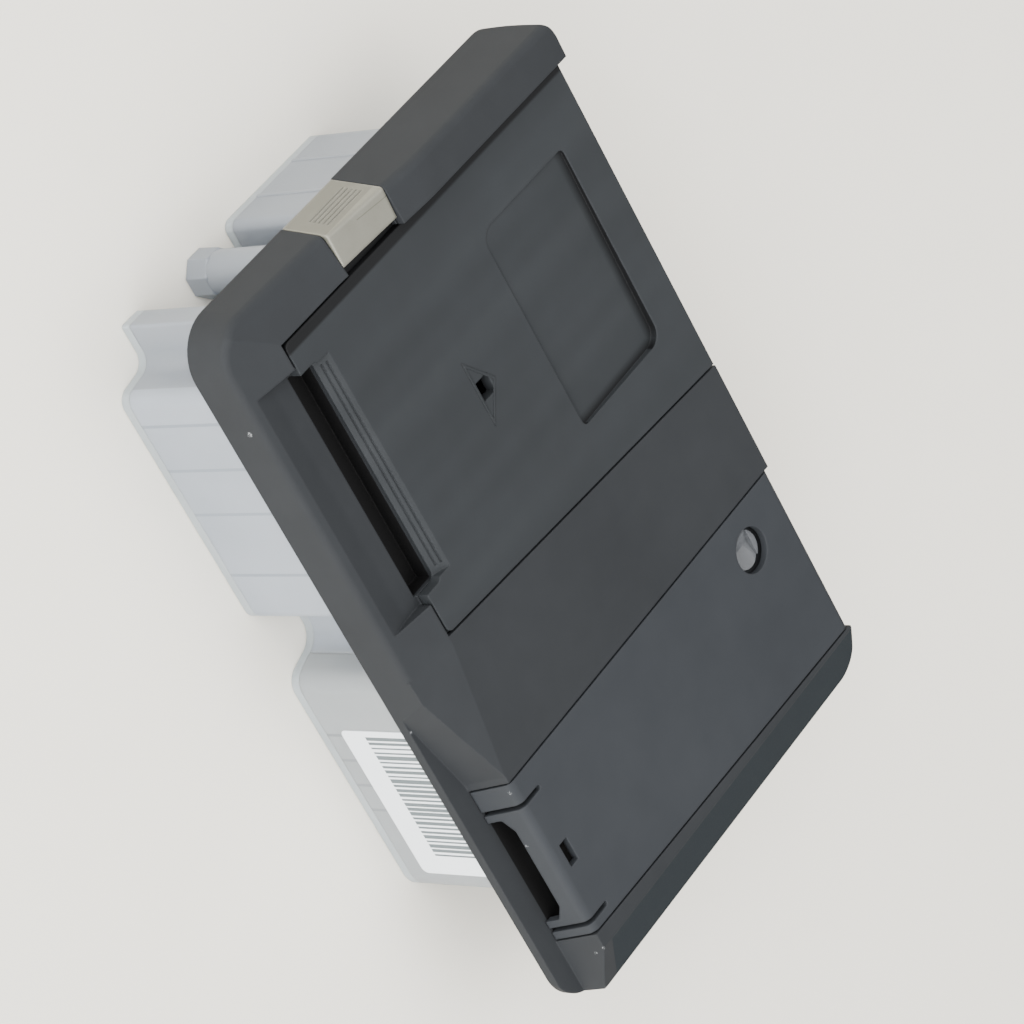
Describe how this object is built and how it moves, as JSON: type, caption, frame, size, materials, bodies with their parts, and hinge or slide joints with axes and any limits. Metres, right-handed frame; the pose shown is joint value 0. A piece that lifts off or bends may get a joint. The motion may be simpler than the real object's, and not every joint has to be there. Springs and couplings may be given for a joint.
{
  "type": "dishwasher detergent dispenser",
  "caption": "Dark front frame with a sliding detergent door, a side latch button and a hinged rinse aid lid, on a milky rear housing with the tank and actuators",
  "frame": {"origin": "centre of the back plane of the front flange, which seats on the appliance door's panel", "axes": "+X from the latch bar to the rinse aid end, +Y from the finger edge to the hinge edge, +Z out of the front face"},
  "size_m": [0.236, 0.153, 0.0594],
  "materials": {
    "frame_plastic": "fine-grained dark grey moulding",
    "door_plastic": "fine-grained dark grey moulding",
    "lid_plastic": "fine-grained dark grey moulding",
    "cup_plastic": "smooth grey moulding",
    "silver_finish": "silver beige satin",
    "white_plastic": "natural white moulding",
    "motor_plastic": "pale grey moulding",
    "milky_plastic": "milky translucent moulding",
    "clear_plastic": "clear prism",
    "rubber": "soft black seal",
    "steel": "bright steel",
    "yoke_steel": "plated steel with a wound coil",
    "brass": "bright brass",
    "label_paper": "white paper label"
  },
  "bodies": {
    "base": {"front_frame": "frame_plastic", "detergent_cup": "cup_plastic", "door_seal": "rubber", "lever_pin": "steel", "latch_spring": "steel", "wax_motor": "motor_plastic", "dosing_solenoid": "yoke_steel", "plunger_spring": "steel", "actuator_terminals": "brass", "rear_housing": "milky_plastic", "tank_housing": "milky_plastic", "rear_cover": "milky_plastic", "tank_grommet": "rubber", "case_screws": "steel", "actuator_screws": "steel", "lid_hinge_pin": "steel", "level_lens": "clear_plastic", "flange_gasket": "rubber", "tank_label": "label_paper"},
    "door": {"detergent_door": "door_plastic", "door_guide_strip": "door_plastic"},
    "button": {"latch_button": "silver_finish"},
    "lever": {"release_lever": "white_plastic"},
    "motor_rod": {"motor_plunger": "brass"},
    "dosing_rod": {"dosing_plunger": "steel", "dosing_tip": "rubber"},
    "lid": {"rinse_lid": "lid_plastic", "lid_plug_seal": "rubber"}
  },
  "joints": [
    {"name": "door_slide", "type": "slide", "parent": "base", "child": "door", "axis": [0, 1, 0], "range_m": [0, 0.06]},
    {"name": "latch_press", "type": "slide", "parent": "base", "child": "button", "axis": [1, 0, 0], "range_m": [0, 0.0022], "stiffness_N_per_m": 800},
    {"name": "lever_swing", "type": "hinge", "parent": "base", "child": "lever", "pos_m": [-0.1097, 0.0155, 0.0114], "axis": [0, 0, 1], "range_deg": [0, 5.4], "deforming": ["latch_spring"]},
    {"name": "plunger_travel", "type": "slide", "parent": "base", "child": "motor_rod", "axis": [-1, 0, 0], "range_m": [0, 0.00113]},
    {"name": "dosing_stroke", "type": "slide", "parent": "base", "child": "dosing_rod", "axis": [-1, 0, 0], "range_m": [0, 0.0025], "stiffness_N_per_m": 400, "deforming": ["plunger_spring"]},
    {"name": "lid_swing", "type": "hinge", "parent": "base", "child": "lid", "pos_m": [0.072, 0.0734, 0.0125], "axis": [-1, 0, 0], "range_deg": [0, 105]}
  ],
  "couplings": [
    {"joint": "lever_swing", "follows": "latch_press", "rad_per_m": 42.553},
    {"joint": "plunger_travel", "follows": "latch_press", "ratio": 0.51064}
  ]
}
